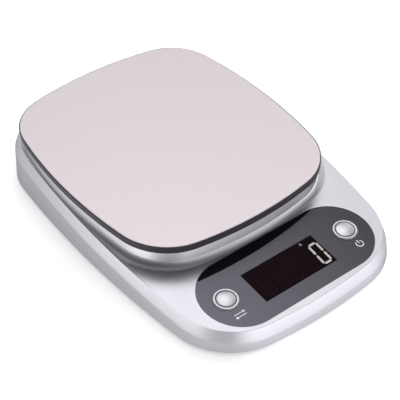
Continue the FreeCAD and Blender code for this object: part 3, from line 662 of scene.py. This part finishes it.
def build_collars():
    """The bright raised ring round each button."""
    inner = COLLAR_INNER
    outer = COLLAR_OUTER
    profile = [(inner, LABEL_BOTTOM - 0.6), (inner - 0.1, 0.2), (inner, 0.5), (inner + 0.15, 0.68),
               (inner + 0.35, 0.77), (inner + 0.8, 0.8), (inner + 1.25, 0.79), (inner + 1.45, 0.72),
               (inner + 1.6, 0.58), (outer - 0.06, 0.3), (outer, 0.0), (outer, LABEL_BOTTOM)]
    for x, name in ((-BUTTON_X, "unit_collar"), (BUTTON_X, "power_collar")):
        mesh = bmesh.new()
        loops = [[mesh.verts.new(p * MM) for p in circle(r, w, (x, 0))] for r, w in profile]
        for low, high in zip(loops, loops[1:] + loops[:1]):
            for i in range(len(low)):
                j = (i + 1) % len(low)
                mesh.faces.new((low[i], low[j], high[j], high[i]))
        dress(finished(mesh, name, PANEL, 50.0), "silver_button", "base")


# ---------------------------------------------------------------- platform

def build_sheet():
    """The stainless sheet, its edge rolled over the tray."""
    rings = [ring(grown(SHEET, -SHEET_TUCK), SHEET_BOTTOM), ring(SHEET, SHEET_BOTTOM),
             ring(SHEET, SHEET_TOP), ring(grown(SHEET, -SHEET_FLAT), SHEET_TOP)]
    sheet = skin_piece("steel_sheet", rounded(rings, [0, SHEET_EDGE], 5))
    dress(sheet, "stainless_sheet", "platform", "steel_platform_sheet")


def build_tray():
    """The dark tray: rim, web, ribs and the four bosses that stand on the bracket."""
    outer = grown(SHEET, RIM_LIP)
    lip = grown(SHEET, LIP_GAP)
    face_edge = grown(SHEET, -FACE_INSET)
    web_edge = grown(SHEET, -WEB_INSET)
    underside = [ring(web_edge, TRAY_WEB), ring(web_edge, RIM_BOTTOM), ring(SHEET, RIM_BOTTOM)]
    # the rim's skirt is painted shade, dark plastic in place of the shadowed gap under the rim
    rim = rounded([ring(SHEET, SKIRT_BOTTOM, SKIRT_SLOPE), ring(outer, SKIRT_BOTTOM, SKIRT_SLOPE),
                   ring(outer, TRAY_TOP), ring(lip, TRAY_TOP)], RIM_EDGES)
    face = [ring(lip, SHEET_BOTTOM), ring(face_edge, SHEET_BOTTOM), ring(face_edge, TRAY_FACE)]
    mesh = bmesh.new()
    add_skin(mesh, underside + rim + face)
    middle = SHEET["widest_y"]
    root = TRAY_WEB + WEB_OVERLAP
    for x in RIB_XS:
        add_block(mesh, centred(x, RIB_THICK), centred(middle, RIB_LENGTH), (RIB_BOTTOM, root))
    for dy in CROSS_RIB_YS:
        add_block(mesh, centred(0.0, CROSS_RIB_LENGTH), centred(middle + dy, RIB_THICK), (RIB_BOTTOM, root))
    bracket_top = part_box("platform_bracket")[1].z / MM
    for x in BOSS_XS:
        for dy in BOSS_YS:
            add_skin(mesh, [circle(BOSS_RADIUS, z, (x, middle + dy), 48) for z in (bracket_top, root)])
    dress(finished(mesh, "tray_rim"), "tray_plastic", "platform", "platform_tray")


# ---------------------------------------------------------------- panel

def panel_plate(name, outlines, slot):
    """A thin plate on the panel, riding on the base."""
    dress(skin_piece(name, outlines, PANEL), slot, "base")


def build_label():
    """The glossy label, pierced for the collars and the display window."""
    rings = [stadium(LABEL_HALF_LENGTH, LABEL_RADIUS, LABEL_BOTTOM),
             stadium(LABEL_HALF_LENGTH, LABEL_RADIUS, LABEL_TOP),
             stadium(LABEL_HALF_LENGTH - 2, LABEL_RADIUS - 2, LABEL_TOP)]
    label = skin_piece("label", rounded(rings, 0.14, 3), PANEL)
    through = (-3.0, 3.0)
    collar_hole = COLLAR_OUTER + COLLAR_GAP
    outlines = [[circle(collar_hole, w, (x, 0)) for w in through] for x in (-BUTTON_X, BUTTON_X)]
    outlines.append([rectangle(WINDOW_CENTRE, WINDOW_SIZE, w) for w in through])
    cut_from(label, [skin_piece("cutter", hole, PANEL) for hole in outlines])
    dress(label, "label_print", "base", "label_panel")


def build_window():
    """The display's dark clear pane, flush with the label."""
    size = smaller_window(PANE_GAP)
    outlines = [rectangle(WINDOW_CENTRE, size, w) for w in (LABEL_BOTTOM, PANE_TOP)]
    panel_plate("display_pane", outlines, "display_dark")


def swoosh_edge(x):
    """The crescent's lower edge, in the panel's frame."""
    return SWOOSH_Y + SWOOSH_BEND * (x - SWOOSH_X) ** 2


def label_edge(x):
    """The rear edge of the painted reflection's crescent at x."""
    inset_radius = LABEL_RADIUS - REFLECTION_MARGIN
    straight = LABEL_HALF_LENGTH - LABEL_RADIUS
    beyond = max(abs(x) - straight, 0.0)
    return math.sqrt(inset_radius ** 2 - beyond ** 2)


def build_swoosh():
    """A plain black crescent along the label's rear edge: a painted reflection of the platform's dark front
    edge.
    """
    count = 90
    thinnest = 0.02
    start, end = SWOOSH_SPAN
    xs = [start + (end - start) * i / count for i in range(count + 1)]
    xs = [x for x in xs if label_edge(x) > swoosh_edge(x) + thinnest]
    lower = [(x, swoosh_edge(x)) for x in xs]
    upper = [(x, label_edge(x)) for x in reversed(xs)]
    outlines = [[Vector((x, y, w)) for x, y in lower + upper] for w in PRINT_AND_REFLECTION_SPAN]
    panel_plate("label_painted_reflection", outlines, "label_black")


# Seven-segment digit: (x, y) of each segment's ends, in units of half the digit's width and height.
SEGMENTS = {
    "top": ((-1, 1), (1, 1)), "upper_right": ((1, 1), (1, 0)), "lower_right": ((1, 0), (1, -1)),
    "bottom": ((-1, -1), (1, -1)), "lower_left": ((-1, 0), (-1, -1)), "upper_left": ((-1, 1), (-1, 0)),
    "middle": ((-1, 0), (1, 0)),
}


def segment_outline(digit_x, ends, w):
    """A segment's pointed bar, in the panel's frame."""
    start, end = [Vector((p[0] * DIGIT_HALF[0], p[1] * DIGIT_HALF[1])) for p in ends]
    along = (end - start).normalized()
    across = Vector((-along.y, along.x)) * STROKE
    gap = along * SEGMENT_GAP
    point = along * (STROKE + SEGMENT_GAP)
    corners = [start + gap, start + point - across, end - point - across, end - gap,
               end - point + across, start + point + across]
    return [Vector((digit_x + c.x + DIGIT_LEAN * c.y, DIGIT_CENTRE[1] + c.y, w)) for c in corners]


def build_digits():
    """The lit zero, the unlit digits beside it, and the small unit mark above."""
    foot = PANE_TOP - PRINT_DEPTH
    lit_top = PANE_TOP + PRINT_RISE
    unlit_top = PANE_TOP + UNLIT_RISE
    lit = bmesh.new()
    unlit = bmesh.new()
    for place in range(DIGIT_COUNT):
        digit_x = DIGIT_CENTRE[0] - DIGIT_PITCH * place
        for name, ends in SEGMENTS.items():
            is_lit = place == 0 and name != "middle"
            mesh, top = (lit, lit_top) if is_lit else (unlit, unlit_top)
            add_skin(mesh, [segment_outline(digit_x, ends, w) for w in (foot, top)])
    mark_x, mark_y = UNIT_MARK_CENTRE
    for dy in UNIT_BAR_YS:
        add_block(lit, centred(mark_x, UNIT_BAR[0]), centred(mark_y + dy, UNIT_BAR[1]), (foot, lit_top))
    dress(finished(lit, "display_digit", PANEL), "display_lit", "base")
    dress(finished(unlit, "display_unlit", PANEL), "display_ghost", "base")


def add_arc_band(mesh, centre, radius, half_width, arc_span, w):
    """A bent printed stroke about a centre, between two angles in degrees."""
    steps = 28
    start, end = arc_span
    angles = [math.radians(start + (end - start) * i / steps) for i in range(steps + 1)]
    for first, second in zip(angles, angles[1:]):
        corners = []
        for angle, reach in ((first, radius - half_width), (first, radius + half_width),
                             (second, radius + half_width), (second, radius - half_width)):
            corners.append((centre[0] + reach * math.cos(angle), centre[1] + reach * math.sin(angle)))
        add_prism(mesh, corners, w)


def build_marks():
    """Two plain symbols by the buttons: a swap arrow pair at the left, a standby ring at the right."""
    mesh = bmesh.new()
    ring_centre = (BUTTON_X, SYMBOL_Y)
    add_arc_band(mesh, ring_centre, STANDBY_RADIUS, SYMBOL_LINE / 2, STANDBY_ARC, PRINT_AND_REFLECTION_SPAN)
    bar_y = (SYMBOL_Y + STANDBY_BAR[0], SYMBOL_Y + STANDBY_BAR[1])
    add_block(mesh, centred(BUTTON_X, SYMBOL_LINE), bar_y, PRINT_AND_REFLECTION_SPAN)
    for side in (1, -1):
        y = SYMBOL_Y + side * SWAP_OFFSET
        neck_x = -BUTTON_X + side * SWAP_NECK
        tail_x = -BUTTON_X + side * SWAP_TAIL
        add_block(mesh, sorted((neck_x, tail_x)), centred(y, SWAP_LINE), PRINT_AND_REFLECTION_SPAN)
        head = ((-BUTTON_X + side * SWAP_TIP, y), (neck_x, y + SWAP_HEAD), (neck_x, y - SWAP_HEAD))
        add_prism(mesh, head, PRINT_AND_REFLECTION_SPAN)
    dress(finished(mesh, "label_marks", PANEL), "label_white", "base")


def build_buttons():
    """The two domed push buttons, with the flange and stem they have inside."""
    flange_radius = COLLAR_INNER + FLANGE_REACH
    flange_low, flange_high = FLANGE_SPAN
    profile = [(STEM_RADIUS, STEM_BOTTOM), (STEM_RADIUS, flange_low), (flange_radius, flange_low),
               (flange_radius, flange_high), (BUTTON_RADIUS, flange_high), (BUTTON_RADIUS, DOME_FOOT - 0.1),
               (BUTTON_RADIUS - 0.04, DOME_FOOT + 0.08), (BUTTON_RADIUS - 0.16, DOME_FOOT + 0.2),
               (BUTTON_RADIUS - 0.32, DOME_FOOT + 0.27)]
    shoulder, shoulder_w = profile[-1]
    steps = 14
    smallest = 0.15
    for step in range(1, steps + 1):
        share = step / steps
        height = shoulder_w + (DOME_TOP - shoulder_w) * (1 - (1 - share) ** 2)
        profile.append((max(shoulder * (1 - share), smallest), height))
    for x, name, body, node in ((-BUTTON_X, "unit_key_cap", "unit_key", "unit_button"),
                                (BUTTON_X, "power_key_cap", "power_key", "power_button")):
        cap = skin_piece(name, [circle(r, w, (x, 0)) for r, w in profile], PANEL, 60.0)
        dress(cap, "silver_button", body, node)


# ---------------------------------------------------------------- carried-over nodes

def dress_nodes():
    """Gives every CAD node that is still shown its finish."""
    slots = {part["node"]: part["material_slot"] for part in frame["record"]["subparts"]}
    for name, node in frame["nodes"].items():
        node.data.materials.clear()
        node.data.materials.append(MATERIALS[slots[name]])


# ---------------------------------------------------------------- stage

def heading(azimuth, elevation):
    """A direction from its angles in degrees, counter-clockwise from +X and up from the floor."""
    a = math.radians(azimuth)
    e = math.radians(elevation)
    return (math.cos(e) * math.cos(a), math.cos(e) * math.sin(a), math.sin(e))


def build_stage():
    """A pale floor that glows a little near the object, and more as it goes away from it.

    The glow stays low towards the photographer's side and, more gently, towards the left rear.
    """
    near, far = 0.11, 0.30
    low_glow, high_glow = 0.38, 3.1
    mesh = bmesh.new()
    bmesh.ops.create_grid(mesh, x_segments=1, y_segments=1, size=4.0)
    floor = finished(mesh, "floor")
    shader = Shader("floor_paper", (0.93, 0.93, 0.935), 0.8, Emission_Color=(1.0, 1.0, 1.0, 1.0))
    shader.vary_roughness(shader.noise(0.05), 0.75, 0.85)

    def measured(vector, operation, other=None):
        """The outputs of a vector operation on one vector, or on it and another."""
        node = shader.node("ShaderNodeVectorMath", operation=operation)
        shader.link(vector, node.inputs[0])
        if other is not None:
            node.inputs[1].default_value = other
        return node.outputs

    distance = measured(shader.place((0.95, 1, 1)), "LENGTH")["Value"]
    away = shader.remapped(distance, 0.0, 1.0, near, far)
    bearing = measured(shader.place(), "NORMALIZE")["Vector"]
    photographer = measured(bearing, "DOT_PRODUCT", heading(-131, 0))["Value"]
    left_rear = measured(bearing, "DOT_PRODUCT", heading(130, 0))["Value"]
    share = away
    for factor in (shader.remapped(photographer, 1.0, 0.0, 0.9, 0.985),
                   shader.remapped(left_rear, 1.0, 0.0, 0.75, 1.0)):
        product = shader.node("ShaderNodeMath", operation="MULTIPLY")
        shader.link(share, product.inputs[0])
        shader.link(factor, product.inputs[1])
        share = product.outputs["Value"]
    glow = shader.remapped(share, low_glow, high_glow, 0.0, 1.0)
    shader.link(glow, shader.surface.inputs["Emission Strength"])
    floor.data.materials.append(shader.material)


def build_world():
    """A soft studio, lit by what the glossy surfaces mirror.

    A bright softbox hangs high at the rear right, fading towards the left. Two weaker ones stand low,
    at the right and at the rear. The walls glow near the horizon, most at the front and at the left,
    but not on the photographer's side.
    """
    world = bpy.data.worlds.new("studio")
    bpy.context.scene.world = world
    world.use_nodes = True
    tree = world.node_tree
    coordinates = tree.nodes.new("ShaderNodeTexCoord")

    def toward(direction):
        """How closely each direction agrees with one direction, from -1 to 1."""
        product = tree.nodes.new("ShaderNodeVectorMath")
        product.operation = "DOT_PRODUCT"
        product.inputs[1].default_value = direction
        tree.links.new(coordinates.outputs["Generated"], product.inputs[0])
        return product.outputs["Value"]

    def graded(value, *stops):
        """A grey level from (value, level) stops."""
        ramp = tree.nodes.new("ShaderNodeValToRGB")
        ramp.color_ramp.interpolation = "EASE" if len(stops) == 2 else "LINEAR"
        for index, (position, level) in enumerate(stops):
            if index < 2:
                stop = ramp.color_ramp.elements[index]
                stop.position = position
            else:
                stop = ramp.color_ramp.elements.new(position)
            stop.color = (level, level, level, 1.0)
        tree.links.new(value, ramp.inputs["Fac"])
        return ramp.outputs["Color"]

    def combined(kind, first, second):
        """Two grey levels multiplied, or the lighter of them."""
        mix = tree.nodes.new("ShaderNodeMix")
        mix.data_type = "RGBA"
        mix.blend_type = kind
        mix.inputs["Factor"].default_value = 1.0
        tree.links.new(first, mix.inputs["A"])
        tree.links.new(second, mix.inputs["B"])
        return mix.outputs["Result"]

    walls = graded(toward((0, 0, 1)), (0.0, 0.8), (0.1, 0.65), (0.2, 0.5), (0.34, 0.38), (0.45, 0.2),
                   (0.6, 0.09))
    front = graded(toward(heading(-62, 0)), (0.0, 0.3), (0.45, 0.6), (0.62, 1.0))
    left = graded(toward(heading(165, 12)), (0.5, 0.3), (0.85, 0.85))
    photographer = graded(toward(heading(-133, -12)), (0.9, 1.0), (0.965, 0.0))
    main_box = graded(toward(heading(66, 61)), (0.8, 0.1), (0.87, 0.26), (0.905, 0.46), (0.932, 0.76),
                      (0.952, 1.1), (0.985, 1.28))
    right_part = graded(toward(heading(-20, 10)), (0.0, 0.15), (0.16, 1.0))
    side_box = graded(toward(heading(20, 20)), (0.84, 0.0), (0.95, 0.6))
    rear_box = graded(toward(heading(95, 22)), (0.87, 0.0), (0.97, 0.55))
    glowing = combined("MULTIPLY", walls, combined("LIGHTEN", front, left))
    room = combined("MULTIPLY", glowing, photographer)
    high_box = combined("MULTIPLY", main_box, right_part)
    low_boxes = combined("LIGHTEN", side_box, rear_box)
    light = combined("LIGHTEN", room, combined("LIGHTEN", high_box, low_boxes))
    tree.links.new(light, tree.nodes["Background"].inputs["Color"])
    tree.nodes["Background"].inputs["Strength"].default_value = 2.0


def add_softbox(name, location, size, power, mirrored):
    """A square soft light that faces the origin. mirrored says whether glossy surfaces show it."""
    light = bpy.data.lights.new(name, "AREA")
    light.shape = "SQUARE"
    light.size = size
    light.energy = power
    lamp = bpy.data.objects.new(name, light)
    lamp.location = location
    lamp.visible_glossy = mirrored
    lamp.rotation_euler = (-Vector(location)).to_track_quat("-Z", "Y").to_euler()
    bpy.context.scene.collection.objects.link(lamp)


def build_lights():
    """A faint key from the rear right, and a stronger even fill from overhead."""
    add_softbox("key", (1.0, 1.1, 1.3), 1.2, 1.0, mirrored=True)
    add_softbox("fill", (0, 0, 1.6), 1.4, 7.5, mirrored=False)


bpy.context.scene.view_settings.view_transform = "Standard"

build_housing()
build_collars()
build_sheet()
build_tray()
build_label()
build_window()
build_swoosh()
build_digits()
build_marks()
build_buttons()
dress_nodes()
build_stage()
build_world()
build_lights()
